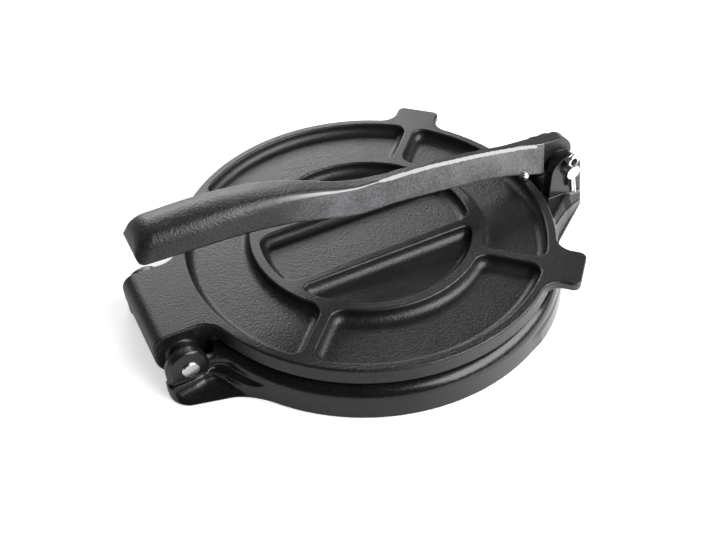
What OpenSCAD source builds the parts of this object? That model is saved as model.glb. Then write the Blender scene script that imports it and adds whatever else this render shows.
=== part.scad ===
// Cast iron tortilla press: a round base casting, a hinged lid and a long lever that bears on the
// lid's rim. X runs from the hinge (-X) to the lever pivot (+X), Z is up, the base stands on z = 0.

/* [Plates] */
// Diameter of the lid across its rim
lid_d = 208; // [180:1:240]
// How far the base reaches past the lid all round, at the table
base_margin = 5.7; // [4:0.1:9]
// Draft of the base wall from table to top, on the radius
base_draft = 2.4; // [0.5:0.1:4]
// Height of the base's pressing face
base_h = 17; // [14:0.5:24]
// Thickness of the base's round plate
base_plate = 5; // [4:0.5:8]
// Thickness of the skirt around the hollow underside
skirt_w = 6; // [4:0.5:9]
// Rounding of the base's top edge
base_round = 2; // [1:0.1:3]
// Thickness of the two long ribs under the base
under_rib_w = 4; // [3:0.5:6]
// Distance of those ribs from the centre line
under_rib_y = 22; // [15:1:40]
// Height of those ribs above the table
under_rib_lift = 3; // [2:0.5:6]
// Gap between the closed pressing faces
plate_gap = 0.4; // [0.2:0.1:1]

/* [Lid] */
// Height from the lid's pressing face to its rim
lid_h = 11.2; // [9:0.1:16]
// Height of the bevel under the lid's edge
lid_bevel_h = 3; // [1.5:0.1:4]
// How far that bevel runs in
lid_bevel_w = 6.5; // [3:0.5:9]
// Draft of the lid's wall, on the radius
lid_draft = 1.1; // [0.5:0.1:2]
// Rounding of the lid's top edge
lid_round = 1.2; // [0.6:0.1:2]
// Depth of the pockets between the ribs
pocket_depth = 6; // [3:0.5:7.5]
// Width of the rim
rim_w = 5; // [4:0.5:8]
// Inner radius of the ring rib
ring_in = 58.6; // [45:0.5:65]
// Width of the ring rib
ring_w = 5.6; // [4:0.2:8]
// Width of the four spokes
spoke_w = 5.6; // [4:0.2:9]
// Angle of the spokes and finger tabs from the long axis
spoke_a = 45.5; // [40:0.5:50]
// Distance of the two cross bars from the long axis
bar_y = 19.9; // [14:0.1:26]
// Width of the two cross bars
bar_w = 5.7; // [4:0.1:8]
// Rounding along the pockets' floor
floor_round = 3.6; // [2:0.2:4.5]
// Width of a finger tab
tab_w = 26; // [20:1:32]
// How far a finger tab reaches past the rim
tab_out = 15.6; // [10:0.1:20]
// Thickness of a finger tab
tab_h = 5; // [4:0.5:6]
// Corner rounding of a finger tab
tab_round = 4; // [2:0.5:6]
// Fillet where tabs and lug leave the rim
root_fillet = 8; // [4:0.5:9]

/* [Hinge] */
// Distance of the hinge pin from the rim
hinge_out = 14.2; // [12:0.1:20]
// Radius of the lug's rounded end
lug_r = 13.8; // [12:0.1:15]
// Width of the lid's lug
lug_w = 52; // [36:1:60]
// Rounding of the lug's upper outer edge
lug_nose = 7.5; // [4:0.5:10]
// Radius of the hub that fills the gap beside the lug
hub_r = 7.5; // [6:0.5:10]
// Diameter of the hinge pin
hinge_pin_d = 7.4; // [5:0.1:9]
// Diameter of the hinge pin's head
hinge_head_d = 9.4; // [9.2:0.1:14]
// Thickness of the hinge pin's head
hinge_head_h = 1.1; // [0.8:0.1:3]
// Distance of the near hinge ear's outer face from the long axis
near_ear_out = 39.5; // [36:0.5:48]
// Thickness of a hinge ear
hinge_ear_t = 5; // [4:0.5:8]
// Radius of a hinge ear's round top
hinge_ear_r = 12; // [9:0.5:13]
// Depth of the foot flanges below the base's pressing face
foot_drop = 9; // [7:0.5:11]
// Width that a foot reaches out past its ear
foot_out = 11.5; // [8:0.5:14]
// Corner rounding of a foot
foot_round = 8; // [4:0.5:10]
// Height of the lip around the feet
lip_h = 3; // [2:0.5:4]
// Blend from a foot into the round base
foot_blend = 14; // [8:1:18]

/* [Lever pivot] */
// Distance of the lever pin from the rim
pivot_out = 22.5; // [20:0.5:30]
// Height of the lever pin above the rim
pivot_up = 2.6; // [1.5:0.1:6]
// Diameter of the lever pin
lever_pin_d = 9; // [6:0.1:10]
// Diameter of the lever pin's head
lever_head_d = 11; // [10:0.5:16]
// Thickness of the lever pin's head
lever_head_h = 3; // [2:0.5:5]
// How far the lever pin stands out past its near ear
pin_stub = 5.2; // [4:0.2:8]
// Distance between the outer faces of the fork's ears
fork_w = 27; // [25:0.5:36]
// Thickness of a fork ear
fork_ear_t = 7.2; // [5:0.1:9]
// Radius of a fork ear's round top
fork_ear_r = 10.4; // [9:0.1:12]
// Slope of the fork ears' outer edge, from pin to seat
fork_slope = 3; // [0:0.5:5]
// Height of the seat that carries the fork's ears
seat_h = 12; // [10:0.5:14]
// Height of the flange around that seat
flange_h = 8; // [5:0.5:9]
// Half the width of the flange at its end
flange_end = 14.4; // [13.6:0.2:20]
// Half the width of the flange where it meets the round base
flange_root = 35; // [28:1:45]

/* [Lever] */
// Length of the lever from its pin to the end of the grip
lever_len = 253; // [225:1:290]
// Thickness of the tongue between the fork's ears
tongue_w = 9; // [8:0.1:9.6]
// Radius of the tongue's round end
tongue_r = 15; // [13:0.5:16]
// Wall of the tongue round its bore, beyond the pin
tongue_wall = 4.8; // [3.5:0.1:6]
// Radius of the tongue's rounded end
tongue_end_r = 11; // [9:0.5:12]
// Distance of that rounding's middle from the pin, towards the grip
tongue_back = 2.2; // [1:0.1:3]
// Thickness of the hub around the lever's bore
hub_w = 11.6; // [9.6:0.1:12]
// Distance from the pin to the step where the bar begins
step_out = 12.5; // [11.8:0.1:16]
// Width of the bar along its top
bar_top_w = 5.2; // [4:0.2:8]
// Width of the bar along its bottom
bar_bottom_w = 14; // [10:0.5:18]
// Depth of the bar in the middle
bar_h = 16.4; // [12:0.2:20]
// Width of the grip
grip_w = 30; // [24:1:36]
// Depth of the grip
grip_h = 16; // [12:0.5:20]
// Height of the grip's top above the pin
grip_up = 49.5; // [40:0.5:60]
// Depth of the hollow under the grip
grip_hollow = 5; // [3:0.5:7]
// Diameter of the press pin under the bar
press_d = 5.4; // [4:0.2:8]
// Length of the press pin across the bar
press_len = 20.6; // [16:0.2:26]
// Distance of the press pin from the lever pin
press_out = 26.9; // [24:0.1:32]
// Gap between the press pin and the rim at rest
press_gap = 0.3; // [0.2:0.1:0.6]

/* [Cotter pins] */
// Diameter of a cotter pin's shank
cotter_d = 2.6; // [2:0.1:3]
// Thickness of the wire in its eye and legs
cotter_wire = 1.7; // [1.2:0.1:2]
// Radius of its eye
cotter_eye = 2.7; // [2:0.1:4]
// Length of its legs below the pin
cotter_leg = 12; // [6:0.5:14]
// Splay of its legs in degrees
cotter_splay = 6; // [2:1:15]

/* [Fits] */
// Clearance of a pin in its bore, on the radius
pin_fit = 0.08; // [0.03:0.01:0.1]
// Side play between hub and ear
side_play = 0.4; // [0.3:0.1:0.6]
// Clearance around the turning lug and the lever's tongue
swing_gap = 0.9; // [0.6:0.1:1.5]

/* [Hidden] */
$fn = 96;

rim_r = lid_d/2;
base_r = rim_r + base_margin;
base_top_r = base_r - base_draft;
lid_z = base_h + plate_gap;
rim_z = lid_z + lid_h;
floor_z = rim_z - pocket_depth;
pocket_draft = pocket_depth*0.1;
spoke_angles = [spoke_a, 180 - spoke_a, 180 + spoke_a, -spoke_a];
pocket_r = rim_r - rim_w;

hinge_x = -(rim_r + hinge_out);
hinge_z = rim_z - lug_r;
nose_x = hinge_x - lug_r + lug_nose;
foot_h = base_h - foot_drop;
tongue_eye_r = lever_pin_d/2 + tongue_wall;
ear_in = near_ear_out - hinge_ear_t;

// The far hinge ear stands close to the lug, so it is further in than the near one
far_in = lug_w/2 + side_play;
far_out = far_in + hinge_ear_t;

pivot_x = rim_r + pivot_out;
pivot_z = rim_z + pivot_up;
fork_out = fork_w/2;
fork_in = fork_out - fork_ear_t;
flange_x = pivot_x + tongue_r;

press_x = pivot_x - press_out;
press_z = rim_z + press_gap + press_d/2;

foot_x = hinge_x - lug_r + 1;

// The part's middle lies over x = 0
mid_x = (flange_x + hinge_x - lug_r)/2;

iron = [0.13, 0.13, 0.14];
steel = [0.78, 0.78, 0.80];

// Underside of the bar, above the pin, at a distance from the pin
function bar_low(out) = lookup(out, [[step_out, -3.6], [60.5, 7], [134.5, 13.5]]);

// Outline across the lever: half widths at the top and bottom, low and high edge, squareness
function cross_outline(top, bottom, low, high, square) = [
    for (i = [0:35])
        let (a = i*10 + 5, c = cos(a), s = sin(a),
             up = sign(s)*pow(abs(s), 2/square),
             half = (top + bottom)/2 + (top - bottom)/2*up)
        [half*sign(c)*pow(abs(c), 2/square), (low + high)/2 + (high - low)/2*up]
];

// Slice across the lever at a distance from the pin, heights above the pin
module lever_slice(out, top, bottom, low, high, square) {
    translate([pivot_x - out, 0, pivot_z])
        rotate([90, 0, 90])
            linear_extrude(height = 0.2, center = true)
                polygon(cross_outline(top, bottom, low, high, square));
}

// Cylinder along Y between two places
module y_cylinder(r, y0, y1) {
    translate([0, y1, 0]) rotate([90, 0, 0]) cylinder(r = r, h = y1 - y0);
}

// Fillets between a disc and a strip that leaves it along +X
module strip_fillets(disc_r, half_w, fillet) {
    cy = half_w + fillet;
    cx = sqrt(pow(disc_r + fillet, 2) - cy*cy);
    touch = disc_r/(disc_r + fillet);
    for (side = [0, 1]) mirror([0, side, 0])
        difference() {
            polygon([[cx, half_w], [cx, cy], [cx*touch, cy*touch], [cx*touch - fillet, half_w]]);
            translate([cx, cy]) circle(r = fillet);
        }
}

// Finger tab along +X, seen from above
module tab_plan() {
    half = tab_w/2;
    reach = rim_r + tab_out;
    translate([rim_r - 12, -half]) square([reach - tab_round - rim_r + 12, tab_w]);
    translate([rim_r, -half + tab_round]) square([tab_out, tab_w - 2*tab_round]);
    for (side = [-1, 1]) translate([reach - tab_round, side*(half - tab_round)]) circle(r = tab_round);
    strip_fillets(rim_r - 0.6, half, root_fillet);
}

// Points from a pocket's top edge down its drafted wall and round to its floor
function wall_points(x, side, round_r, turns) = concat([[x - side, rim_z + pocket_depth/6 + 0.1]],
    [for (i = [0:turns])
        let (a = 90*i/turns)
        [x + side*(pocket_draft + round_r*(1 - cos(a))), floor_z + round_r*(1 - sin(a))]]);

// Round channel between two radii, as its walls and floor are cast
module channel(r0, r1) {
    outer = wall_points(r1, -1, floor_round, 4);
    back = [for (i = [len(outer) - 1:-1:0]) outer[i]];
    rotate_extrude()
        polygon(concat(r0 == 0 ? [[0, rim_z + 1], [0, floor_z]] : wall_points(r0, 1, floor_round, 4), back));
}

// Straight rib with drafted sides, along +X
module pocket_rib(w, length) {
    half = wall_points(w/2, 1, 0.9*floor_round, 3);
    other = [for (i = [len(half) - 1:-1:0]) [-half[i][0], half[i][1]]];
    rotate([90, 0, 90]) linear_extrude(height = length)
        polygon(concat(half, [[half[4][0], 0], [-half[4][0], 0]], other));
}

// Cutter for the pockets, with drafted walls and a rounded floor
module pockets() {
    difference() {
        channel(ring_in + ring_w, pocket_r);
        for (a = spoke_angles) rotate(a) pocket_rib(spoke_w, rim_r);
    }
    difference() {
        channel(0, ring_in);
        for (side = [-1, 1])
            translate([-rim_r, side*(bar_y + bar_w/2), 0]) pocket_rib(bar_w, lid_d);
    }
}

// Round plate of the lid, seen as half its section
module lid_disc() {
    top_r = rim_r - lid_round;
    rotate_extrude()
        union() {
            polygon([[0, lid_z], [rim_r + lid_draft - lid_bevel_w, lid_z], [rim_r + lid_draft, lid_z + lid_bevel_h],
                [rim_r, rim_z - lid_round], [top_r, rim_z], [0, rim_z]]);
            translate([top_r, rim_z - lid_round]) circle(r = lid_round);
        }
}

module lid() {
    color(iron) translate([-mid_x, 0, 0]) difference() {
        union() {
            difference() {
                union() {
                    lid_disc();
                    // Two finger tabs
                    for (side = [-1, 1]) rotate(side*spoke_a)
                        translate([0, 0, rim_z - tab_h]) linear_extrude(height = tab_h) tab_plan();
                    // Lug root
                    translate([0, 0, lid_z]) mirror([1, 0, 0])
                        linear_extrude(height = lid_h) strip_fillets(rim_r, lug_w/2, root_fillet);
                    translate([hinge_x, -lug_w/2, lid_z]) cube([hinge_out + 10, lug_w, lid_h]);
                    translate([nose_x, -lug_w/2, hinge_z]) cube([hinge_x - nose_x + 1, lug_w, lug_r]);
                }
                pockets();
            }
            // Lug end: round below, with a squarer nose above, and the hub beside it
            translate([hinge_x, 0, hinge_z]) {
                y_cylinder(lug_r, -lug_w/2, lug_w/2);
                y_cylinder(hub_r, -ear_in + side_play, 0);
            }
            translate([nose_x, 0, rim_z - lug_nose]) y_cylinder(lug_nose, -lug_w/2, lug_w/2);
            translate([hinge_x - lug_r, -lug_w/2, hinge_z]) cube([lug_r, lug_w, lug_r - lug_nose]);
        }
        // Bore for the hinge pin
        translate([hinge_x, 0, hinge_z]) y_cylinder(hinge_pin_d/2 + pin_fit, -60, 60);
    }
}

// Round part of the base, with its hollow underside
module base_disc() {
    edge_r = base_top_r - base_round;
    inner = base_r - skirt_w;
    inner_z = base_h - base_plate;
    rotate_extrude()
        difference() {
            union() {
                polygon([[0, 0], [base_r, 0], [base_top_r, base_h - base_round], [edge_r, base_h], [0, base_h]]);
                translate([edge_r, base_h - base_round]) circle(r = base_round);
            }
            polygon([[0, -1], [inner, -1], [inner - 1.5, inner_z - 2], [inner - 3.5, inner_z], [0, inner_z]]);
        }
}

// Foot flange on the -Y side of the hinge, for an ear with that inner face, seen from above
module foot_plan(inner) {
    foot_y = inner + hinge_ear_t + foot_out;
    skew = [foot_x + foot_round, -foot_y];
    aim = [-rim_r + 6, -foot_y - 7.2];
    run = (aim - skew)/norm(aim - skew);
    out = [run[1], -run[0]];
    bite = 0.985*foot_blend;
    start = skew + bite*out;
    want = base_r - 1.6 + foot_blend;
    along = -(start*run) - sqrt(pow(start*run, 2) - start*start + want*want);
    hub = start + along*run;
    back = 0.35*foot_round;
    translate([foot_x + foot_round, -foot_y + foot_round]) circle(r = foot_round);
    difference() {
        polygon([[foot_x, -inner + 2], [foot_x, -foot_y + foot_round], [foot_x + back, -foot_y + back], skew,
            hub - bite*out, hub, hub*(base_r - 8)/want, [-rim_r + 30, -foot_y],
            [-rim_r + 30, -inner + 2]]);
        translate(hub) circle(r = foot_blend);
    }
}

// One hinge ear with that inner face, and the foot that carries it, on the -Y side
module hinge_ear(inner) {
    cove = 9;
    foot_y = inner + hinge_ear_t + foot_out;
    difference() {
        linear_extrude(height = foot_h) foot_plan(inner);
        // Hollow sweep along the foot's outer side, above its lip
        translate([foot_x, -foot_y - 2.5, lip_h + cove])
            rotate([0, 0, -14]) rotate([0, 90, 0])
                translate([0, 0, -20]) cylinder(r = cove, h = 80);
    }
    // Ear and the shoulder that runs from it to the round base
    translate([0, -inner, 0]) rotate([90, 0, 0]) linear_extrude(height = hinge_ear_t) {
        translate([hinge_x, hinge_z]) circle(r = hinge_ear_r);
        translate([hinge_x - hinge_ear_r, 0]) square([2*hinge_ear_r, hinge_z]);
        translate([hinge_x, 0]) square([hinge_out + 8, base_h - 1]);
    }
}

// Fork that carries the lever, on its flange
module fork() {
    hull() {
        for (row = [[0, 0, lip_h], [1.6, lip_h, flange_h - lip_h]])
            translate([0, 0, row[1]]) linear_extrude(height = row[2])
                polygon([[rim_r, -flange_root + row[0]], [flange_x - 1.5 - row[0], -flange_end + row[0]],
                    [flange_x - row[0], -flange_end + 2 + row[0]], [flange_x - row[0], flange_end - 2 - row[0]],
                    [flange_x - 1.5 - row[0], flange_end - row[0]], [rim_r, flange_root - row[0]]]);
        translate([pivot_x - fork_ear_r, -fork_out, 0]) cube([fork_ear_r + tongue_r - 2, fork_w, seat_h]);
    }
    for (side = [0, 1]) mirror([0, side, 0])
        translate([0, -fork_in, 0]) rotate([90, 0, 0]) linear_extrude(height = fork_ear_t) {
            translate([pivot_x, pivot_z]) circle(r = fork_ear_r);
            polygon([[pivot_x - fork_ear_r, 4], [pivot_x - fork_ear_r, pivot_z], [pivot_x + fork_ear_r, pivot_z],
                [pivot_x + fork_ear_r + fork_slope, seat_h], [pivot_x + fork_ear_r + fork_slope, 4]]);
        }
}

module base() {
    slot = ear_in + far_in;
    color(iron) translate([-mid_x, 0, 0]) difference() {
        union() {
            base_disc();
            hinge_ear(ear_in);
            mirror([0, 1, 0]) hinge_ear(far_in);
            fork();
            // Long ribs under the plate
            for (side = [-1, 1])
                translate([-rim_r + 8, side*under_rib_y - under_rib_w/2, under_rib_lift])
                    cube([lid_d - 10, under_rib_w, base_h - base_plate/2 - under_rib_lift]);
            // Wall behind the lug's slot
            translate([hinge_x + lug_r + swing_gap - 1, -ear_in - 3, 0]) cube([6, slot + 6, base_h - 2]);
        }
        // Slot for the lug between the ears
        translate([hinge_x, 0, hinge_z]) y_cylinder(lug_r + swing_gap, -ear_in, far_in);
        translate([foot_x - 9, -ear_in, -1]) cube([hinge_x - foot_x + 9 + lug_r, slot, base_h + 9]);
        // Bores for the two pins
        translate([hinge_x, 0, hinge_z]) y_cylinder(hinge_pin_d/2 + pin_fit, -60, 60);
        translate([pivot_x, 0, pivot_z]) y_cylinder(lever_pin_d/2 + pin_fit, -60, 60);
        // Hollow for the tongue to swing in
        translate([pivot_x, 0, pivot_z]) y_cylinder(tongue_r + swing_gap, -fork_in, fork_in);
    }
}

// Lever as slices from its step to the end of the grip
module lever_body() {
    half_t = bar_top_w/2;
    half_b = bar_bottom_w/2;
    half_g = grip_w/2;
    rows = [
        [step_out, tongue_w/2 + 0.2, half_b + 1.2, bar_low(step_out), 16, 9],
        [60.5, half_t, half_b, bar_low(60.5), bar_low(60.5) + bar_h, 8],
        [134.5, half_t + 1, half_b, bar_low(134.5), bar_low(134.5) + bar_h + 0.3, 7],
        [lever_len - 92.5, half_g*0.45, half_g*0.62, grip_up - 10 - grip_h - 1, grip_up - 10, 5],
        [lever_len - 68.5, half_g*0.72, half_g*0.88, grip_up - 3.5 - grip_h + 1, grip_up - 3.5, 4],
        [lever_len - 41.5, half_g*0.85, half_g, grip_up - grip_h, grip_up, 3.6],
        [lever_len - 9.5, half_g*0.85, half_g, grip_up - grip_h, grip_up, 3.6],
        [lever_len, half_g*0.6, half_g*0.75, grip_up - grip_h + 3, grip_up - 3, 3]
    ];
    for (i = [0:6])
        hull() {
            lever_slice(rows[i][0], rows[i][1], rows[i][2], rows[i][3], rows[i][4], rows[i][5]);
            lever_slice(rows[i + 1][0], rows[i + 1][1], rows[i + 1][2], rows[i + 1][3], rows[i + 1][4],
                rows[i + 1][5]);
        }
}

module lever() {
    hollow_r = 10;
    hollow_z = pivot_z + grip_up - grip_h + grip_hollow - hollow_r;
    color(iron) translate([-mid_x, 0, 0]) difference() {
        union() {
            lever_body();
            translate([pivot_x, 0, pivot_z]) {
                y_cylinder(tongue_eye_r, -tongue_w/2, tongue_w/2);
                y_cylinder(tongue_eye_r - 0.7, -hub_w/2, hub_w/2);
                translate([-tongue_back, 0, tongue_r - tongue_end_r])
                    y_cylinder(tongue_end_r, -tongue_w/2, tongue_w/2);
                translate([-step_out - 4, -tongue_w/2, -3.4])
                    cube([step_out + 4 - tongue_back, tongue_w, tongue_r + 3.4]);
            }
        }
        translate([pivot_x, 0, pivot_z]) y_cylinder(lever_pin_d/2 + pin_fit, -60, 60);
        // Groove for the press pin
        translate([press_x, 0, press_z]) y_cylinder(press_d/2, -20, 20);
        // Hollow under the grip
        translate([pivot_x - lever_len + 22, 0, hollow_z]) {
            rotate([0, 90, 0]) cylinder(r = hollow_r, h = 46);
            sphere(r = hollow_r);
            translate([46, 0, 0]) sphere(r = hollow_r);
        }
    }
}

// Hard steel pin pressed into a groove across the bar, which bears on the rim
module press_pin() {
    half = press_len/2;
    color(steel) translate([press_x - mid_x, 0, press_z]) rotate([90, 0, 0])
        rotate_extrude() polygon([[0, -half], [press_d/2 - 0.6, -half], [press_d/2, -half + 0.6],
            [press_d/2, half - 0.6], [press_d/2 - 0.6, half], [0, half]]);
}

// Cotter pin through a cross pin: eye above, shank through, two legs below
module cotter(through) {
    wire_r = cotter_wire/2;
    eye_z = through/2 + cotter_eye + wire_r;
    drop = through/2 + 0.8;
    translate([0, 0, eye_z]) rotate([90, 0, 0])
        rotate_extrude() translate([cotter_eye, 0]) circle(r = wire_r);
    translate([0, 0, -drop]) cylinder(d = cotter_d, h = drop + eye_z - cotter_eye + wire_r/2);
    for (side = [-1, 1])
        translate([side*(cotter_d/2 - wire_r), 0, -drop + wire_r]) rotate([0, side*(180 - cotter_splay), 0])
            cylinder(r = wire_r, h = cotter_leg);
}

module hinge_pin() {
    far = far_out + pin_stub;
    color(steel) translate([hinge_x - mid_x, 0, hinge_z]) difference() {
        union() {
            y_cylinder(hinge_pin_d/2, -near_ear_out - 0.2, far);
            y_cylinder(hinge_head_d/2, -near_ear_out - 0.1 - hinge_head_h, -near_ear_out - 0.1);
        }
        translate([0, far - pin_stub/2, 0]) rotate([0, -75, 0])
            cylinder(d = cotter_d + 0.2, h = 40, center = true);
    }
}

module hinge_cotter() {
    color(steel) translate([hinge_x - mid_x, far_out + pin_stub/2, hinge_z])
        rotate([0, -75, 0]) cotter(hinge_pin_d);
}

module lever_pin() {
    near = fork_out + pin_stub;
    color(steel) translate([pivot_x - mid_x, 0, pivot_z]) difference() {
        union() {
            y_cylinder(lever_pin_d/2, -near, fork_out + 0.2);
            y_cylinder(lever_head_d/2, fork_out + 0.1, fork_out + 0.1 + lever_head_h);
        }
        translate([0, -near + pin_stub/2, -20]) cylinder(d = cotter_d + 0.2, h = 40);
    }
}

module lever_cotter() {
    color(steel) translate([pivot_x - mid_x, -fork_out - pin_stub/2, pivot_z]) cotter(lever_pin_d);
}

base();
lid();
lever();
press_pin();
hinge_pin();
hinge_cotter();
lever_pin();
lever_cotter();
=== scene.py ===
"""Cast iron tortilla press: a round base, a hinged lid with finger tabs, and a long lever in a fork.

Lengths of the press are in millimetres from the middle of its round plates. X runs from the hinge to the
lever's pin, and Z up from the table. A mesh goes to the row's frame, in metres, when it is made.
"""

import bpy
import numpy as np
from mathutils import Matrix


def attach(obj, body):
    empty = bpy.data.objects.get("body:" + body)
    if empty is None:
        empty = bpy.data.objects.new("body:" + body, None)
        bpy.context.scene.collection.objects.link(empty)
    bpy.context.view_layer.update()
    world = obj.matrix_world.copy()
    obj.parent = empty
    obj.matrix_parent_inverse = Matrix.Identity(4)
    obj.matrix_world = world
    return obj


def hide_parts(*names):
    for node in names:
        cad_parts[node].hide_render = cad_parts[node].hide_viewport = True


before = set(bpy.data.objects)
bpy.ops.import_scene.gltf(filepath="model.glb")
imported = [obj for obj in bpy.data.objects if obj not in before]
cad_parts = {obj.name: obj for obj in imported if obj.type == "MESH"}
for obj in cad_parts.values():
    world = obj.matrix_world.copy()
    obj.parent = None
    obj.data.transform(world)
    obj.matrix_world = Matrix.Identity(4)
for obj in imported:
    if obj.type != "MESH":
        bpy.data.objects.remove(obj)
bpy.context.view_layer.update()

# Base: one sand casting in grey iron. It is a round plate over a hollow skirt, with an ear on a foot at
# each side of the hinge and a fork on a flange for the lever. Its pressing face and ears are machined.
middle_x = 4.75
base_r = 109.7
base_h = 17.0
base_draft = 2.4
draft_scale = 0.99
base_round = 6.0
skirt = 6.0
plate = 5.0
hollow_draft = 0.25
under_rib_y = 22.0
under_rib_half = 2.0
under_rib_z = 3.0
back_wall_x = -101.5
back_wall_half = 3.0
back_wall_side = 37.5
back_wall_z = 15.0
# Hinge: its pin, the lug that turns on it, the ears and their faces
hinge_x = -118.2
hinge_z = 14.8
hinge_bore_r = 3.78
lug_r = 13.8
swing_gap = 0.9
slot_reach = 40.0
ear_out = 39.5
ear_in = 34.5
far_ear_in = 26.4
ear_x = -119.4
ear_z = 15.9
ear_r = 10.8
ear_face_x = -118.8
ear_face_z = 16.9
ear_face_r = 8.8
ear_face_lean = 0.1
# Foot of an ear: for each x, foot_line gives how far the foot's top lies in from its low lip
foot_x = -122.0
foot_side = 49.6
foot_splay = 0.2556
foot_scale = 0.969
foot_end = -131.0
foot_reach = -84.0
foot_top = 8.3
foot_lip = 1.2
foot_sweep = 7.1
foot_bow = 2.2
foot_line = [(-129.5, 5.7), (-118, 9.1), (-113, 11), (-107, 12.3), (-103.3, 9.4), (-100.1, 5.5),
             (-96.7, 2), (-93, 0.5), (-88, 0)]
shoulder_x = -112.0
shoulder_side = 37.8
# Flange: its slanted side runs through (flange_side_x, flange_side_y), square to flange_normal. For each x,
# flange_rows gives the height of the top's edge and how far the side sweeps in up to there.
flange_side_x = 104.0
flange_side_y = 40.2
flange_normal = (0.570, 0.822)
flange_end = 141.5
flange_start = 90.0
flange_lip = 1.6
flange_fall = 1.25
flange_fall_scale = 0.75
flange_top = 12.0
flange_rows = [(104, 9.5, 4.2), (113, 9, 4.2), (122, 8, 3.6), (129, 7, 2.3), (138, 4.5, 0.8)]
# Fork: the lever's pin, the tongue that turns on it, the two fork ears and their ledge
pivot_x = 126.5
pivot_z = 31.2
lever_bore_r = 4.58
tongue_r = 15.0
fork_out = 13.6
fork_in = 6.3
fork_r = 10.5
fork_x = 125.9
fork_z = 28.8
fork_lean = 0.17
fork_floor = 3.0
ledge_x = 115.2
ledge_back = 1.4
ledge_out = 2.0
ledge_bevel = 0.1
bore_edge = 0.4
diagonal = 0.7071


def meet(a, b, r):
    """Where both solids are, from their distances a and b.

    It is the larger distance, but for a quarter circle of radius r along the edge between them.
    """
    return np.minimum(np.maximum(a, b), -r) + np.hypot(np.maximum(a + r, 0), np.maximum(b + r, 0))


def join(a, b, r):
    """Where either solid is: the smaller distance, but for a fillet of radius r in the corner between."""
    return np.maximum(np.minimum(a, b), r) - np.hypot(np.maximum(r - a, 0), np.maximum(r - b, 0))


def to_row(points):
    """Places in mm from the plates' middle, as metres in the row's frame."""
    return (points - np.array([middle_x, 0, 0])) * 0.001


def add_object(name, data):
    """An object that shows the mesh, lamp or camera, linked to the scene."""
    made = bpy.data.objects.new(name, data)
    bpy.context.scene.collection.objects.link(made)
    return made


def slope_of(shape, points):
    """Distance at the points, and its slope: the difference over h each way, divided by 2 h."""
    x, y, z = points.T
    h = 0.05
    slope = np.stack([
        shape(x + h, y, z) - shape(x - h, y, z),
        shape(x, y + h, z) - shape(x, y - h, z),
        shape(x, y, z + h) - shape(x, y, z - h),
    ], axis=1) / (2 * h)
    return shape(x, y, z), slope


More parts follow.
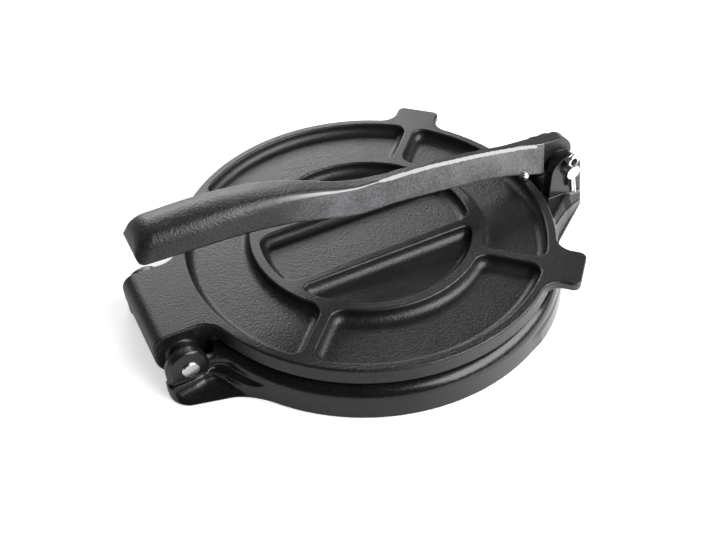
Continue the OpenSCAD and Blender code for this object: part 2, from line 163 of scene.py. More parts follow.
def casting(name, shape, low, high, step, triangles):
    """Skin of a solid whose distance in mm, negative inside, is shape(x, y, z).

    The distance is worked out on a grid. Each cell that the skin crosses gets a vertex in the middle of the
    crossings of its edges, and each grid edge that it crosses gets a face between the four cells round it.
    Then the vertices move along the distance's slope onto the skin, flat parts lose their spare faces, and
    the slope gives the normals.
    """
    nudge = 1e-5
    settle_steps = 3
    longest_move = 0.4 * step
    least_slope = 0.1
    axes = [np.arange(a, b + step, step, dtype=np.float32) for a, b in zip(low, high)]
    field = shape(axes[0][:, None, None], axes[1][None, :, None], axes[2][None, None, :]).astype(np.float32)
    # The nudge keeps the skin off the grid's own points
    field = field + nudge
    inside = field < 0
    counts = np.zeros([n - 1 for n in field.shape], np.uint8)
    corners = [(i, j, k) for i in (0, 1) for j in (0, 1) for k in (0, 1)]
    nx, ny, nz = counts.shape
    for i, j, k in corners:
        counts += inside[i:nx + i, j:ny + j, k:nz + k]
    cells = np.argwhere((counts > 0) & (counts < 8))
    order = np.full(counts.shape, -1, np.int32)
    order[tuple(cells.T)] = np.arange(len(cells), dtype=np.int32)
    values = np.stack([field[tuple((cells + c).T)] for c in corners], axis=1)
    total = np.zeros((len(cells), 3))
    hits = np.zeros(len(cells))
    for a in range(8):
        for b in range(a + 1, 8):
            if sum(p != q for p, q in zip(corners[a], corners[b])) == 1:
                va, vb = values[:, a], values[:, b]
                cross = (va < 0) != (vb < 0)
                t = np.where(cross, va / np.where(cross, va - vb, 1), 0)
                place = np.array(corners[a]) + t[:, None] * (np.array(corners[b]) - np.array(corners[a]))
                total += place * cross[:, None]
                hits += cross
    points = np.array([a[0] for a in axes]) + (cells + total / hits[:, None]) * step
    for _ in range(settle_steps):
        distance, slope = slope_of(shape, points)
        move = slope * (distance / np.maximum((slope ** 2).sum(1), least_slope))[:, None]
        size = np.linalg.norm(move, axis=1)
        points = points - move * np.minimum(1, longest_move / np.maximum(size, 1e-9))[:, None]
    faces = []
    for axis in range(3):
        u, v = [a for a in range(3) if a != axis]
        first = np.take(inside, range(inside.shape[axis] - 1), axis)
        second = np.take(inside, range(1, inside.shape[axis]), axis)
        edges = np.argwhere(first != second)
        edges = edges[(edges[:, u] > 0) & (edges[:, v] > 0)]
        du, dv = np.eye(3, dtype=int)[u], np.eye(3, dtype=int)[v]
        ring = [order[tuple((edges - s * du - t * dv).T)] for s, t in ((0, 0), (1, 0), (1, 1), (0, 1))]
        ring = np.stack(ring, axis=1)
        outward = first[tuple(edges.T)] != (axis == 1)
        faces.append(np.where(outward[:, None], ring, ring[:, ::-1]))
    faces = np.concatenate(faces)
    rough = bpy.data.meshes.new(name)
    rough.from_pydata(points.tolist(), [], faces.tolist())
    helper = add_object(name, rough)
    if 2 * len(faces) > triangles:
        thin = helper.modifiers.new("thin", "DECIMATE")
        thin.ratio = triangles / (2 * len(faces))
    mesh = bpy.data.meshes.new_from_object(helper.evaluated_get(bpy.context.evaluated_depsgraph_get()))
    bpy.data.objects.remove(helper)
    bpy.data.meshes.remove(rough)
    mesh.name = name
    places = np.zeros(3 * len(mesh.vertices))
    mesh.vertices.foreach_get("co", places)
    places = places.reshape(-1, 3)
    slope = slope_of(shape, places)[1]
    normals = slope / np.maximum(np.linalg.norm(slope, axis=1), 1e-6)[:, None]
    mesh.vertices.foreach_set("co", to_row(places).ravel())
    mesh.polygons.foreach_set("use_smooth", np.ones(len(mesh.polygons), bool))
    mesh.normals_split_custom_set_from_vertices(normals)
    return add_object(name, mesh)


def base_shape(x, y, z):
    """The base: a cone round Z, to which foot, flange and ears are joined, and from which bores are cut.

    Its sides differ only at the hinge, where the far ear and foot stand closer to the lug.
    """
    side = np.abs(y)
    hinge_side = np.where(y < 0, -y, y + ear_in - far_ear_in)
    radius = np.hypot(x, y)
    wall = (radius - base_r + base_draft * z / base_h) * draft_scale
    # Foot: above a low lip its side sweeps in, fast and then slowly, and its end's corners get sharper.
    # Away from it the outline draws back, so that its fillet leaves the wall alone.
    lift = 1 - (1 - np.clip((z - foot_lip) / foot_sweep, 0, 1)) ** foot_bow
    along = (hinge_side - foot_side - foot_splay * (x - foot_x)) * foot_scale
    plan = meet(along + np.interp(x, *np.transpose(foot_line)) * lift, foot_end - x, 8.5 - 6 * lift)
    outline = join(wall, np.maximum(plan, x - foot_reach), 8) + 3 * np.clip((plan - 3) / 7, 0, 1)
    foot = meet(outline, z - foot_top, 1.0)
    shoulder = np.maximum(np.maximum(hinge_side - shoulder_side, shoulder_x - x), x - foot_reach)
    skin = join(join(wall, shoulder, 5), foot, 2.5)
    # Flange of the fork, out to its squared end, with a low lip and a top that falls outwards
    flange_side = flange_normal[0] * (x - flange_side_x) + flange_normal[1] * (side - flange_side_y)
    flange_plan = meet(flange_side, x - flange_end, 3)
    row_x, row_z, row_in = np.transpose(flange_rows)
    edge_z = np.interp(x, row_x, row_z)
    sweep = np.interp(x, row_x, row_in)
    flange_lift = np.sqrt(np.clip((z - flange_lip) / (edge_z - flange_lip), 0, 1))
    rise = np.minimum(edge_z + flange_fall * np.maximum(-flange_plan - sweep - 0.6, 0), flange_top)
    flange_wall = np.maximum(flange_plan + sweep * flange_lift, flange_start - x)
    skin = join(skin, meet(flange_wall, (z - rise) * flange_fall_scale, 0.7), 5)
    body = meet(meet(skin, z - base_h, base_round), -z, 0.7)
    # Hollow underside with its two long ribs
    hollow = meet(radius - (base_r - skirt) + hollow_draft * z, z - (base_h - plate), 3)
    rib = meet(np.abs(side - under_rib_y) - under_rib_half, under_rib_z - z, 1)
    body = meet(body, -meet(hollow, -rib, 2), 1)
    # Wall behind the lug's slot
    back_wall = np.maximum(np.abs(x - back_wall_x) - back_wall_half, hinge_side - back_wall_side)
    body = np.minimum(body, np.maximum(back_wall, np.maximum(z - back_wall_z, -z)))
    # Hinge ears: a round top on a straight stem, and a flat machined face with a broad bevel round it
    turn = np.hypot(x - hinge_x, z - hinge_z)
    ear = np.hypot(x - ear_x, z - ear_z) - ear_r
    ear = np.minimum(ear, np.maximum(np.abs(x - ear_x) - ear_r, z - ear_z))
    face = np.hypot(x - ear_face_x, z - ear_face_z) - ear_face_r
    lean = np.clip(ear_face_z - z, 0, 9) * ear_face_lean
    face = np.minimum(face, np.maximum(np.abs(x - ear_face_x + lean) - ear_face_r, z - ear_face_z))
    ear = np.maximum(meet(ear, hinge_side - ear_out, 0.4), (face + hinge_side - ear_out) * diagonal)
    ear = meet(ear, ear_in - hinge_side, 0.25)
    body = join(body, np.maximum(ear, -z), 0.8)
    # Fork ears, flat outside, on their bevelled ledge
    prong = np.hypot(x - fork_x, z - fork_z) - fork_r
    right_lean = fork_r + fork_lean * np.maximum(fork_z - z, 0)
    stem = np.maximum(fork_x - fork_r - x, x - fork_x - right_lean)
    prong = np.minimum(prong, np.maximum(stem, z - fork_z))
    prong = meet(meet(prong, side - fork_out, 0.8), fork_in - side, 0.8)
    body = join(body, np.maximum(prong, fork_floor - z), 0.5)
    ledge = np.maximum(ledge_x - x, x - fork_x - right_lean + ledge_back)
    ledge = meet(ledge, side - fork_out - ledge_out, 0.6)
    ledge = np.maximum(meet(ledge, z - flange_top, 0.3),
                       (side - fork_out + z - flange_top - ledge_bevel) * diagonal)
    body = join(body, np.maximum(ledge, fork_floor - z), 0.6)
    # Slot for the lug, hollow for the tongue, and the bores
    slot = np.minimum(turn - lug_r - swing_gap, np.maximum(x - hinge_x, -slot_reach - (x - hinge_x)))
    body = np.maximum(body, -meet(slot, hinge_side - ear_in, 1.5))
    swing = np.hypot(x - pivot_x, z - pivot_z)
    body = np.maximum(body, -meet(swing - tongue_r - swing_gap, side - fork_in, 1.5))
    bore = np.where(x < 0, turn - hinge_bore_r, swing - lever_bore_r)
    return meet(body, -bore, bore_edge)


def linear(code):
    """Colour of a six digit sRGB hex code, as linear values."""
    parts = np.array([int(code[i:i + 2], 16) for i in (0, 2, 4)]) / 255
    return (*np.where(parts <= 0.04045, parts / 12.92, ((parts + 0.055) / 1.055) ** 2.4), 1)


def add_node(material, kind, inputs, **settings):
    """A node of that kind with its settings. Each input gets its value, or a link if that is a socket."""
    made = material.node_tree.nodes.new(kind)
    for name, value in settings.items():
        setattr(made, name, value)
    for name, value in inputs.items():
        if isinstance(value, bpy.types.NodeSocket):
            material.node_tree.links.new(value, made.inputs[name])
        else:
            made.inputs[name].default_value = value
    return made


# Baked iron: linseed oil baked on bare sand-cast iron. It gives a dark satin skin over the sand's grain, a
# little uneven from place to place. The real grain is finer, and is drawn as wide as it must be to show.
patch_mm = 14.0
cloud_range = (0.38, 0.62)
grain_range = (0.3, 0.7)


def baked_iron(name, dark, light, rough_low, rough_high, grain_mm, grain_depth_mm, bare_and_lit_greys=None):
    """Oil-baked cast iron. Its colour goes from dark to light by the mean of two noises, patches and grain.

    Where the two paler greys are given, the bar's sides take colour between those greys instead. That is
    partly thinner oil and partly painted light: only skin that faces sideways gets it, so the top stays
    dark, and the tongue is left dark as painted shade. A pale grey line along the bar's top edges is a
    painted highlight.
    """
    material = bpy.data.materials.new(name)
    material.use_nodes = True
    material.node_tree.nodes.clear()
    place = add_node(material, "ShaderNodeTexCoord", {}).outputs["Object"]
    grain = add_node(material, "ShaderNodeTexNoise",
                     {"Vector": place, "Scale": 1000 / grain_mm, "Detail": 2.0, "Roughness": 0.6})
    patches = add_node(material, "ShaderNodeTexNoise",
                       {"Vector": place, "Scale": 1000 / patch_mm, "Detail": 3.0, "Roughness": 0.55})
    cloud = add_node(material, "ShaderNodeMix",
                     {0: 0.5, 2: patches.outputs["Fac"], 3: grain.outputs["Fac"]})
    colour = add_node(material, "ShaderNodeValToRGB", {"Fac": cloud.outputs[0]})
    for stop, at, code in zip(colour.color_ramp.elements, cloud_range, (dark, light)):
        stop.position = at
        stop.color = linear(code)
    if bare_and_lit_greys:
        along = add_node(material, "ShaderNodeSeparateXYZ", {"Vector": place})
        facing = add_node(material, "ShaderNodeNewGeometry", {}).outputs["Normal"]
        facing = add_node(material, "ShaderNodeSeparateXYZ", {"Vector": facing})
        sideways = add_node(material, "ShaderNodeMath", {0: facing.outputs["Y"]}, operation="ABSOLUTE")
        # From the grip's neck to the tongue, along X in metres, and where the skin faces sideways. The
        # tongue is
        # # cut out as painted shade, and the sideways skin is where the painted light goes.
        on_bar, off_shaded_tongue, painted_light_flank = [
            add_node(material, "ShaderNodeMapRange", {"Value": value, "From Min": low, "From Max": high})
            for value, low, high in (
                (along.outputs["X"], -0.06, -0.03),
                (along.outputs["X"], 0.1096, 0.109),
                (sideways.outputs["Value"], 0.84, 0.93),
            )
        ]
        bar_share = add_node(material, "ShaderNodeMath",
                             {0: on_bar.outputs["Result"], 1: off_shaded_tongue.outputs["Result"]},
                             operation="MULTIPLY")
        # Thinner oil on the bar's sides, and partly painted light: only sideways skin gets the paler greys
        thin_oil_and_painted_light = add_node(material, "ShaderNodeMath",
                            {0: bar_share.outputs["Value"], 1: painted_light_flank.outputs["Result"]},
                            operation="MULTIPLY")
        speckle = add_node(material, "ShaderNodeValToRGB", {"Fac": cloud.outputs[0]})
        for stop, at, code in zip(speckle.color_ramp.elements, cloud_range, bare_and_lit_greys):
            stop.position = at
            stop.color = linear(code)
        colour = add_node(material, "ShaderNodeMixRGB",
                          {0: thin_oil_and_painted_light.outputs["Value"], 1: colour.outputs["Color"],
                           2: speckle.outputs["Color"]})
        # A painted highlight: a pale grey line where the rounded edge turns from the side to the top
        edge = add_node(material, "ShaderNodeValToRGB", {"Fac": sideways.outputs["Value"]})
        edge_stops = ((0.58, "000000"), (0.66, "ffffff"), (0.8, "ffffff"), (0.88, "000000"))
        for at, _ in edge_stops[1:-1]:
            edge.color_ramp.elements.new(at)
        for stop, (at, code) in zip(edge.color_ramp.elements, edge_stops):
            stop.position = at
            stop.color = linear(code)
        painted_highlight = add_node(material, "ShaderNodeMath",
                        {0: bar_share.outputs["Value"], 1: edge.outputs["Color"]}, operation="MULTIPLY")
        # Pale grey of the painted highlight along the bar's top edges
        colour = add_node(material, "ShaderNodeMixRGB",
                          {0: painted_highlight.outputs["Value"], 1: colour.outputs["Color"], 2: linear("a0a0a2")})
    rough = add_node(material, "ShaderNodeMapRange",
                     {"Value": grain.outputs["Fac"], "From Min": grain_range[0], "From Max": grain_range[1],
                      "To Min": rough_low, "To Max": rough_high})
    bump = add_node(material, "ShaderNodeBump",
                    {"Height": grain.outputs["Fac"], "Strength": 1.0, "Distance": grain_depth_mm * 0.001})
    surface = add_node(material, "ShaderNodeBsdfPrincipled",
                       {"Base Color": colour.outputs["Color"], "Roughness": rough.outputs["Result"],
                        "IOR": 1.5, "Normal": bump.outputs["Normal"]})
    add_node(material, "ShaderNodeOutputMaterial", {"Surface": surface.outputs["BSDF"]})
    return material


grid_scale = 1.0
base = casting("base_casting", base_shape, (-133, -113, -2), (144, 113, 44), 0.8 * grid_scale, 190000)
base.data.materials.append(baked_iron("baked_iron_base", "0e0e0f", "18181a", 0.2, 0.28, 1.1, 0.05))
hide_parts("base")
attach(base, "base")

# Lid: one thinner sand casting. Ribs stand between seven pockets with drafted walls, two finger tabs reach
# past the rim, and a wide lug turns on the hinge pin. Its floors are bare as cast.
rim_r = 104.0
rim_z = 28.6
rim_draft = 1.1
rim_deep = 8.2
lid_z = 17.4
edge_round = 1.1
under_r = 105.1
under_z = 20.4
under_end = -70.0
ring_r = (58.6, 64.2)
pocket_r = 99.0
pocket_slope = 0.22
pocket_scale = 0.97
floor_z = 22.6
floor_fillet = 3.8
spoke_half = 2.8
spoke_angle = np.radians(45.5)
bar_y = (19.9, 25.6)
bar_middle = 22.7
tab_half = 13.0
tab_reach = 119.6
tab_root = (60, 95)
tab_thick = 5.0
lug_half = 26.0
lug_root = -60.0
nose_end = -90.0
hub_r = 7.5
hub_gap = 0.4
far_off = 99.0


def lid_shape(x, y, z):
    """The lid: a disc with a lug and tabs joined on, less the hollow under its rim and seven pockets.

    It is the same on both sides of the long axis, but for the hub beside the lug.
    """
    side = np.abs(y)
    radius = np.hypot(x, y)
    along = x * np.cos(spoke_angle) + side * np.sin(spoke_angle)
    across = np.abs(side * np.cos(spoke_angle) - x * np.sin(spoke_angle))
    across_left = np.abs(side * np.cos(spoke_angle) + x * np.sin(spoke_angle))
    across_left = np.where(x < 0, across_left, far_off)
    across_right = np.where(x > 0, across, far_off)
    # Rim, with the lug's root faired into it, and a chamfer 3 wide and 6.5 high below
    wall = (radius - rim_r - rim_draft * np.clip((rim_z - z) / rim_deep, 0, 1.5)) * draft_scale
    root = np.maximum(side - lug_half, hinge_x - x)
    outline = join(wall, np.maximum(root, x - lug_root), 8)
    under = np.maximum((3 * (radius - under_r) - 6.5 * (z - under_z)) / 7.16, lid_z - z)
    under_lug = np.minimum(under, np.maximum(side - lug_half - 4, lid_z - z))
    under = np.where(x < under_end, under_lug, under)
    body = meet(meet(outline, z - rim_z, edge_round), under, 0.8)
    # Finger tabs
    tab = meet(meet(across - tab_half, along - tab_reach, 4), tab_root[0] - along, 1)
    tab = np.maximum(join(wall, tab, 8), np.maximum(tab_root[1] - along, across - 40))
    body = np.minimum(body, meet(meet(tab, z - rim_z, edge_round), rim_z - tab_thick - z, 1))
    # Lug: round the hinge pin below, with a squarer nose above, and a hub on its near side
    turn = np.hypot(x - hinge_x, z - hinge_z)
    nose = meet(hinge_x - lug_r - x, z - rim_z, 7.5)
    strip = np.maximum(np.maximum(nose, x - nose_end), np.where(x < hinge_x, hinge_z, lid_z) - z)
    lug = meet(np.minimum(turn - lug_r, strip), side - lug_half, edge_round)
    hub = np.maximum(meet(turn - hub_r, -y - ear_in + hub_gap, 0.8), y)
    body = np.minimum(body, join(lug, hub, 1.5))
    # Pockets: sloped walls, corners rounded in plan, a wide fillet along the floor
    ring = meet(ring_r[1] - radius, radius - pocket_r, 1)
    ring = meet(meet(ring, spoke_half - across_right, 7), spoke_half - across_left, 7)
    core = meet(radius - ring_r[0], np.where(side < bar_middle, side - bar_y[0], bar_y[1] - side), 6)
    plan = np.minimum(ring, core) + pocket_slope * (rim_z - z)
    pockets = meet(plan * pocket_scale, floor_z - z, floor_fillet)
    body = meet(body, -pockets, 0.9)
    return meet(body, hinge_bore_r - turn, bore_edge)


lid = casting("lid_casting", lid_shape, (-134, -107, -1), (107, 107, 31), 0.62 * grid_scale, 190000)
lid.data.materials.append(baked_iron("baked_iron_lid", "101012", "1b1b1d", 0.32, 0.42, 1.1, 0.26))
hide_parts("lid")
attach(lid, "lid")

# Lever: one sand casting. A flat tongue turns in the fork, a tapering bar runs over the lid, and it widens
# into a grip that is hollow below.
lever_len = 253.0
grip_rows = np.array([
    # out, top, bottom, half width on top, half width below, top rounding, crown
    [8.0, 15.4, -4.0, 5.4, 8.6, 1.3, 0.0],
    [13.5, 15.6, -3.6, 5.2, 8.4, 1.3, 0.0],
    [25.0, 17.8, -0.8, 3.6, 7.8, 0.9, 0.0],
    [37.0, 19.3, 2.8, 2.8, 7.2, 0.9, 0.0],
    [50.0, 21.5, 5.3, 2.6, 7.0, 0.9, 0.0],
    [62.0, 23.3, 7.0, 2.6, 7.0, 0.9, 0.0],
    [86.0, 26.3, 9.8, 2.6, 7.0, 0.9, 0.0],
    [110.0, 27.9, 12.3, 2.8, 7.0, 0.9, 0.0],
    [121.0, 28.3, 12.4, 3.0, 7.0, 1.0, 0.0],
    [132.0, 29.5, 12.8, 4.0, 7.2, 1.6, 0.1],
    [143.0, 32.6, 16.2, 5.0, 8.2, 2.2, 0.3],
    [154.0, 37.0, 20.6, 6.2, 9.8, 3.0, 0.7],
    [170.0, 42.6, 26.4, 8.2, 11.8, 3.4, 1.5],
    [186.0, 46.4, 30.6, 9.8, 13.4, 3.6, 2.2],
    [204.0, 49.0, 33.4, 10.8, 14.6, 3.8, 2.6],
    [222.0, 49.5, 34.4, 11.2, 15.0, 3.8, 2.8],
    [240.0, 49.3, 34.8, 11.0, 14.8, 3.8, 2.8],
    [262.0, 48.5, 34.9, 10.6, 14.2, 3.8, 2.8],
])
row_step = 0.5
blur_rows = 27
row_out = np.arange(8, 262, row_step)
row_blur = np.hanning(blur_rows)
row_blur /= row_blur.sum()
row_table = [np.interp(row_out, grip_rows[:, 0], column) for column in grip_rows[:, 1:].T]
row_table = np.pad(row_table, ((0, 0), (blur_rows // 2, blur_rows // 2)), "edge")
row_table = np.stack([np.convolve(column, row_blur, "valid") for column in row_table])
crown_half = 11.0
# Bevel between the bar's sides and top, by distance out, then the slant of the grip's end and its hollow
bevel_side = 0.77
bevel_top = 0.47
bevel_out = [115, 135]
bevel_cut = [0.8, -1]
end_lean = 8.0
end_shift = 2.6
end_scale = 0.9
pit_out = 208.0
pit_half = 23.0
pit_up = 29.5
pit_r = 10.0
# Tongue, its hub and the block that carries the bar
tongue_half = 4.5
tongue_back = 2.2
tongue_up = 4.1
tongue_top_r = 11.0
tongue_low_r = 9.3
hub_half = 5.8
lever_hub_r = 6.8
bar_start = 12.5
block_end = 17.0
block_low = -3.4
block_climb = 0.1
# Groove for the press pin
press_x = 99.6
press_z = 31.6
press_r = 2.7


def lever_shape(x, y, z):
    """The lever. Its section is a sloped-sided bar whose sizes follow smoothed rows along its length.

    The half width goes evenly from the bottom to the top, and the crown falls with the side's square.
    """
    out = pivot_x - x
    side = np.abs(y)
    up = z - pivot_z
    sizes = [np.interp(out, row_out, row) for row in row_table]
    top, bottom, half_top, half_bottom, rounding, crown = sizes
    share = np.clip((up - bottom) / (top - bottom), -0.3, 1.3)
    lean = np.hypot(1, (half_bottom - half_top) / (top - bottom))
    flank = (side - half_bottom + (half_bottom - half_top) * share) / lean
    top_face = up - top + crown * (side / crown_half) ** 2
    slant = np.hypot(1, np.interp(out, row_out, np.gradient(row_table[0], row_step)))
    section = meet(flank, top_face / slant, rounding)
    bevel = bevel_side * flank + bevel_top * top_face / slant + np.interp(out, bevel_out, bevel_cut)
    section = np.maximum(section, bevel)
    section = meet(section, (bottom - up) / slant, 1.6)
    end = (out - lever_len - end_shift + end_lean * share) * end_scale
    bar = meet(meet(section, end, 6), bar_start - out, 0.8)
    # Hollow under the grip
    pit = np.hypot(np.hypot(np.maximum(np.abs(out - pit_out) - pit_half, 0), y), up - pit_up) - pit_r
    bar = meet(bar, -pit, 2)
    # Tongue with its hub, and the block that carries the bar
    turn = np.hypot(x - pivot_x, up)
    block = np.maximum(tongue_back - out, out - block_end)
    block_top = up - tongue_r - block_climb * (out - tongue_back)
    block = np.maximum(block, np.maximum(block_top, block_low - up))
    round_end = np.hypot(x - pivot_x + tongue_back, up - tongue_up) - tongue_top_r
    round_end = np.minimum(round_end, turn - tongue_low_r)
    tongue = meet(np.minimum(round_end, block), side - tongue_half, 0.9)
    tongue = np.minimum(tongue, meet(turn - lever_hub_r, side - hub_half, 0.5))
    body = join(bar, tongue, 0.8)
    body = np.maximum(body, press_r - np.hypot(x - press_x, z - press_z))
    return meet(body, lever_bore_r - turn, bore_edge)


lever = casting("lever_casting", lever_shape, (-129, -17, 14), (144, 17, 83), 0.55 * grid_scale, 150000)
# The bar's paler sides are partly painted light, and its top edges carry a painted highlight
lever.data.materials.append(baked_iron("baked_iron_lever", "1a1a1c", "29292b", 0.3, 0.42, 1.2, 0.3,
                                       bare_and_lit_greys=("434345", "6e6e70")))
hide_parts("lever")
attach(lever, "lever")

# Press pin, hinge pins and cotter pins: bright drawn steel. The pins are turned, and the press pin lies in
# a groove across the bar. Each cotter pin is one half-round wire, bent double round its eye.
round_sides = 64
sharp_angle = 35.0


def turned(profile, x, z):
    """Points of a turned piece on a grid: the angle round it, then the place on its profile.

    Its axis lies along Y through (x, z), and its profile lists radius and place from far side to near side.
    """
    angle = np.linspace(0, 2 * np.pi, round_sides, endpoint=False)
    r, along = np.array(profile, float).T
    return np.stack([np.outer(np.cos(angle), r) + x, -np.outer(np.ones(round_sides), along),
                     np.outer(np.sin(angle), r) + z], axis=2)


def grid_mesh(name, pieces):
    """One object from closed tubes of points (round, along, 3). Each tube's ends are closed by a face."""
    points, faces = [], []
    start = 0
    for grid in pieces:
        n, m = grid.shape[:2]
        i, j = np.meshgrid(np.arange(n), np.arange(m - 1), indexing="ij")
        a, b = i * m + j, (i + 1) % n * m + j
        faces += (np.stack([a, b, b + 1, a + 1], axis=2).reshape(-1, 4) + start).tolist()
        faces.append((np.arange(n)[::-1] * m + start).tolist())
        faces.append((np.arange(n) * m + m - 1 + start).tolist())
        points.append(grid.reshape(-1, 3))
        start += n * m
    mesh = bpy.data.meshes.new(name)
    mesh.from_pydata(to_row(np.concatenate(points)).tolist(), [], faces)
    mesh.polygons.foreach_set("use_smooth", np.ones(len(mesh.polygons), bool))
    mesh.set_sharp_from_angle(angle=np.radians(sharp_angle))
    return add_object(name, mesh)


def chamfered(r, start, end, chamfer):
    """Profile of a turned length: straight, with each end's edge broken by two short steps."""
    return [(0.001, start), (r - chamfer, start), (r - 0.3 * chamfer, start + 0.3 * chamfer),
            (r, start + chamfer), (r, end - chamfer), (r - 0.3 * chamfer, end - 0.3 * chamfer),
            (r - chamfer, end), (0.001, end)]


def domed(r, start, end, dome):
    """Profile of a turned length whose two ends are upset into low domes, each a quarter of an ellipse."""
    sweep = np.linspace(0, np.pi / 2, 7)
    reach = np.maximum(r * np.sin(sweep), 0.001)
    low = start + dome * (1 - np.cos(sweep))
    high = end - dome * (1 - np.cos(sweep[::-1]))
    return list(zip(reach, low)) + list(zip(reach[::-1], high))


def wire(path, r, half):
    """Half-round wire of radius r along a path in the plane (u, w): angle round it, then place on the path.

    Its section is half a circle, closed by a flat that looks to the inside of the eye and lies at the
    distance half from the path.
    """
    path = np.array(path, float)
    along = np.gradient(path, axis=0)
    along /= np.linalg.norm(along, axis=1)[:, None]
    out = np.stack([along[:, 1], -along[:, 0]], axis=1)
    arc = np.radians(np.linspace(-82, 82, 15))
    flat = np.linspace(0.85, -0.85, 5)
    u = np.concatenate([r * np.cos(arc), np.zeros(5)]) - half
    v = np.concatenate([r * np.sin(arc), r * flat])
    grid = path[None, :, :] + u[:, None, None] * out[None, :, :]
    depth = np.repeat(v[:, None], len(path), axis=1)
    return np.stack([grid[..., 0], depth, grid[..., 1]], axis=2)[::-1]


def cotter(name, through, r, centre, tilt, legs, spread):
    """A cotter pin: its shank through the pin, an oval eye above it, and its legs below.

    The legs have the lengths in legs and drift apart by spread. All is turned by tilt degrees about Y.
    """
    eye_half = 1.75 * r
    eye_z = through / 2 + 1.72 * r
    half = r / 2
    angle = np.radians(np.linspace(-58, 238, 44))
    eye = np.stack([eye_half * np.cos(angle), eye_z + 1.1 * eye_half * np.sin(angle)], axis=1)
    right_leg, left_leg = [
        [(sign * (half + drift * t), -through / 2 + 0.5 - t) for t in np.linspace(0, leg, 10)]
        for sign, leg, drift in zip((1, -1), legs, spread)
    ]
    neck = through / 2 - 0.4
    tube = wire(right_leg[::-1] + [(half, neck)] + eye.tolist() + [(-half, neck)] + left_leg, r, half)
    c = np.cos(np.radians(tilt))
    s = np.sin(np.radians(tilt))
    return grid_mesh(name, [np.stack([
        c * tube[..., 0] + s * tube[..., 2] + centre[0],
        tube[..., 1] + centre[1],
        -s * tube[..., 0] + c * tube[..., 2] + centre[2],
    ], axis=2)])


press_play = 0.02
press_pin = grid_mesh("press_pin_steel", [
    turned(domed(press_r - press_play, -10.3, 10.3, 1.3), press_x, press_z),
])
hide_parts("press_pin")
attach(press_pin, "lever")
hinge_head = [(0.001, 39.5), (4.7, 39.5), (4.7, 40.0), (4.2, 40.5), (2.6, 40.75), (0.001, 40.8)]
hinge_pin = grid_mesh("hinge_pin_steel", [
    turned(chamfered(3.7, -36.6, 39.4, 0.6), hinge_x, hinge_z),
    turned(hinge_head, hinge_x, hinge_z),
])
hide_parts("hinge_pin")
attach(hinge_pin, "base")
lever_pin = grid_mesh("lever_pin_steel", [
    turned(chamfered(4.5, -14.0, 19.4, 0.7), pivot_x, pivot_z),
    turned(chamfered(5.5, -16.6, -13.7, 0.8), pivot_x, pivot_z),
])
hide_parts("lever_pin")
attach(lever_pin, "base")
lever_cotter = cotter("lever_cotter_steel", through=8.2, r=1.75, centre=(pivot_x + 0.8, -16.6, pivot_z),
                      tilt=-7, legs=(13.2, 11.5), spread=(0.11, -0.08))
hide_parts("lever_cotter")
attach(lever_cotter, "base")
hinge_cotter = cotter("hinge_cotter_steel", through=7.4, r=1.3, centre=(hinge_x, 34.0, hinge_z),
                      tilt=-75, legs=(11.0, 9.5), spread=(0.06, 0.06))
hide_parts("hinge_cotter")
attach(hinge_cotter, "base")

# Drawn steel: bright and metallic, with faint lines from the die or the tool. The real lines are finer, and
# these are as coarse as they need to be to show.
line_mm = 1 / 1.4
steel = bpy.data.materials.new("drawn_steel")
steel.use_nodes = True
steel.node_tree.nodes.clear()
steel_place = add_node(steel, "ShaderNodeTexCoord", {}).outputs["Object"]
scratches = add_node(steel, "ShaderNodeTexNoise",
                     {"Vector": steel_place, "Scale": 1000 / line_mm, "Detail": 3.0})
steel_rough = add_node(steel, "ShaderNodeMapRange",
                       {"Value": scratches.outputs["Fac"], "From Min": grain_range[0],
                        "From Max": grain_range[1], "To Min": 0.18, "To Max": 0.34})
steel_bump = add_node(steel, "ShaderNodeBump",
                      {"Height": scratches.outputs["Fac"], "Strength": 0.6, "Distance": 0.00002})
steel_surface = add_node(steel, "ShaderNodeBsdfPrincipled",
                         {"Base Color": linear("d8d8da"), "Metallic": 1.0,
                          "Roughness": steel_rough.outputs["Result"],
                          "Normal": steel_bump.outputs["Normal"]})
add_node(steel, "ShaderNodeOutputMaterial", {"Surface": steel_surface.outputs["BSDF"]})
for piece in (press_pin, hinge_pin, lever_pin, lever_cotter, hinge_cotter):
    piece.data.materials.append(steel)

# Floor: a white table top that runs out of view. It looks white to the camera, and to reflections on the
# lever's side of the press, and keeps the shadow of the press. In reflections it glows as a painted pool of
# light, full on the lever's side and dim towards the hinge.
floor_drop = 0.0002
bpy.ops.mesh.primitive_plane_add(size=6, location=(0, 0, -floor_drop))
floor = bpy.context.object
floor.name = "white_table"
table = bpy.data.materials.new("white_table_top")
table.use_nodes = True
table.node_tree.nodes.clear()
ray = add_node(table, "ShaderNodeLightPath", {})
table_place = add_node(table, "ShaderNodeTexCoord", {}).outputs["Object"]
table_axes = add_node(table, "ShaderNodeSeparateXYZ", {"Vector": table_place})
# A painted pool of light that only reflections see: the table glows dim at the hinge and full past it
painted_light_pool = add_node(table, "ShaderNodeMapRange",
                {"Value": table_axes.outputs["X"], "From Min": -0.04, "From Max": 0.02,
                 "To Min": 0.05, "To Max": 1.0})
painted_reflection_glow = add_node(table, "ShaderNodeMath",
                    {0: ray.outputs["Is Glossy Ray"], 1: painted_light_pool.outputs["Result"]}, operation="MULTIPLY")
seen = add_node(table, "ShaderNodeMath",
                {0: ray.outputs["Is Camera Ray"], 1: 0.5, 2: painted_reflection_glow.outputs["Value"]},
                operation="MULTIPLY_ADD")
matt = add_node(table, "ShaderNodeBsdfDiffuse", {"Color": linear("e6e6e6")})
glow = add_node(table, "ShaderNodeEmission",
                {"Color": linear("ffffff"), "Strength": seen.outputs["Value"]})
added = add_node(table, "ShaderNodeAddShader", {0: matt.outputs["BSDF"], 1: glow.outputs["Emission"]})
add_node(table, "ShaderNodeOutputMaterial", {"Surface": added.outputs["Shader"]})
floor.data.materials.append(table)

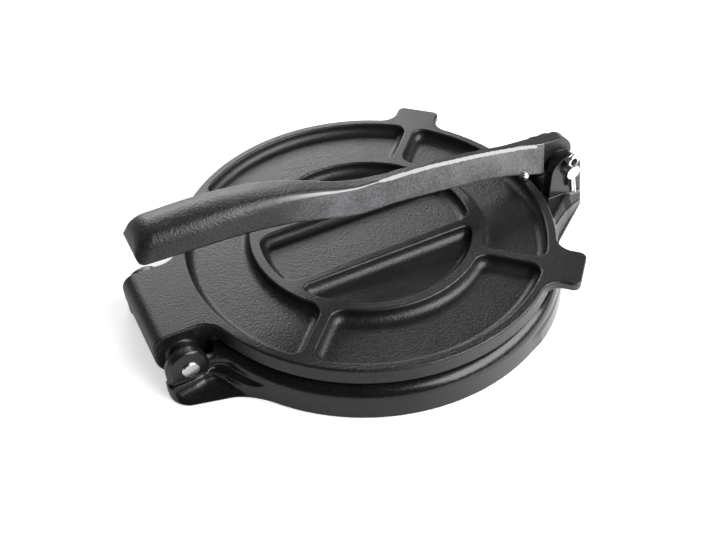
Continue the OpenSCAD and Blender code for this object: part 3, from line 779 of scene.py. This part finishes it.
# Studio: a pale room behind and to the right, dark in front and dim overhead, with a long soft box in
# front to the right and one behind.
world = bpy.data.worlds.new("studio")
bpy.context.scene.world = world
world.use_nodes = True
world.node_tree.nodes.clear()
sky_ray = add_node(world, "ShaderNodeLightPath", {})
way = add_node(world, "ShaderNodeTexCoord", {})
height = add_node(world, "ShaderNodeSeparateXYZ", {"Vector": way.outputs["Generated"]})
fade = add_node(world, "ShaderNodeMapRange",
                {"Value": height.outputs["Z"], "From Min": 0.25, "From Max": 0.65,
                 "To Min": 1.0, "To Max": 0.2})
bright_side = add_node(world, "ShaderNodeVectorMath",
                       {0: way.outputs["Generated"], 1: (0.45, 0.89, 0)}, operation="DOT_PRODUCT")
walls = add_node(world, "ShaderNodeMapRange",
                 {"Value": bright_side.outputs["Value"], "From Min": -0.5, "From Max": 0.35,
                  "To Min": 0.03, "To Max": 0.3})
room_light = add_node(world, "ShaderNodeMath",
                      {0: fade.outputs["Result"], 1: walls.outputs["Result"]}, operation="MULTIPLY")
room, white, soft = [
    add_node(world, "ShaderNodeBackground", {"Color": linear("ffffff"), "Strength": strength})
    for strength in (room_light.outputs["Value"], 1.0, 0.25)
]
reflected = add_node(world, "ShaderNodeMixShader",
                     {0: sky_ray.outputs["Is Glossy Ray"], 1: soft.outputs["Background"],
                      2: room.outputs["Background"]})
sky = add_node(world, "ShaderNodeMixShader",
               {0: sky_ray.outputs["Is Camera Ray"], 1: reflected.outputs["Shader"],
                2: white.outputs["Background"]})
add_node(world, "ShaderNodeOutputWorld", {"Surface": sky.outputs["Shader"]})


def view_axes(azimuth, elevation):
    """Unit vectors to the right, up and back of a viewer at that side and height, both in radians.

    Back points away from the press, right is level, and up is square to both.
    """
    back = np.array([np.sin(azimuth) * np.cos(elevation), -np.cos(azimuth) * np.cos(elevation),
                     np.sin(elevation)])
    right = np.array([np.cos(azimuth), np.sin(azimuth), 0])
    return right, np.cross(back, right), back


def aim(made, axes, place):
    """Turns a lamp or camera so that its own axes are the given ones, and puts it at the place."""
    turn = Matrix(np.array(axes).T.tolist()).to_4x4()
    turn.translation = place.tolist()
    made.matrix_world = turn


def soft_box(name, azimuth, elevation, distance, width, depth, radiance):
    """A rectangular lamp that looks at the press, from that side and height in degrees.

    A lamp's power is its radiance times pi times its area.
    """
    axes = view_axes(np.radians(azimuth), np.radians(elevation))
    lamp = bpy.data.lights.new(name, "AREA")
    lamp.shape = "RECTANGLE"
    lamp.size = width
    lamp.size_y = depth
    lamp.energy = radiance * np.pi * width * depth
    made = add_object(name, lamp)
    aim(made, axes, axes[2] * distance)


soft_box("key", azimuth=46, elevation=40, distance=1.1, width=1.3, depth=0.7, radiance=7.5)
soft_box("rear", azimuth=172, elevation=29, distance=1.3, width=1.1, depth=0.5, radiance=7)

# Camera: where the photograph was taken from, looking down at the hinge's near side. Its focal length is in
# pixels of a picture 716 wide.
focal_px = 907.36
picture_px = 716
camera_side, camera_height, camera_roll = np.radians([-26.08, 43.42, -1.93])
camera_place = np.array([-171.6, -339.3, 355.5])
level, upward, back = view_axes(camera_side, camera_height)
right = np.cos(camera_roll) * level + np.sin(camera_roll) * upward
above = -np.sin(camera_roll) * level + np.cos(camera_roll) * upward
lens = bpy.data.cameras.new("camera")
lens.sensor_width = 36.0
lens.lens = focal_px / picture_px * 36
lens.clip_start = 0.01
lens.clip_end = 20
camera = add_object("camera", lens)
aim(camera, (right, above, back), to_row(camera_place))
bpy.context.scene.camera = camera
bpy.context.scene.view_settings.view_transform = "Standard"
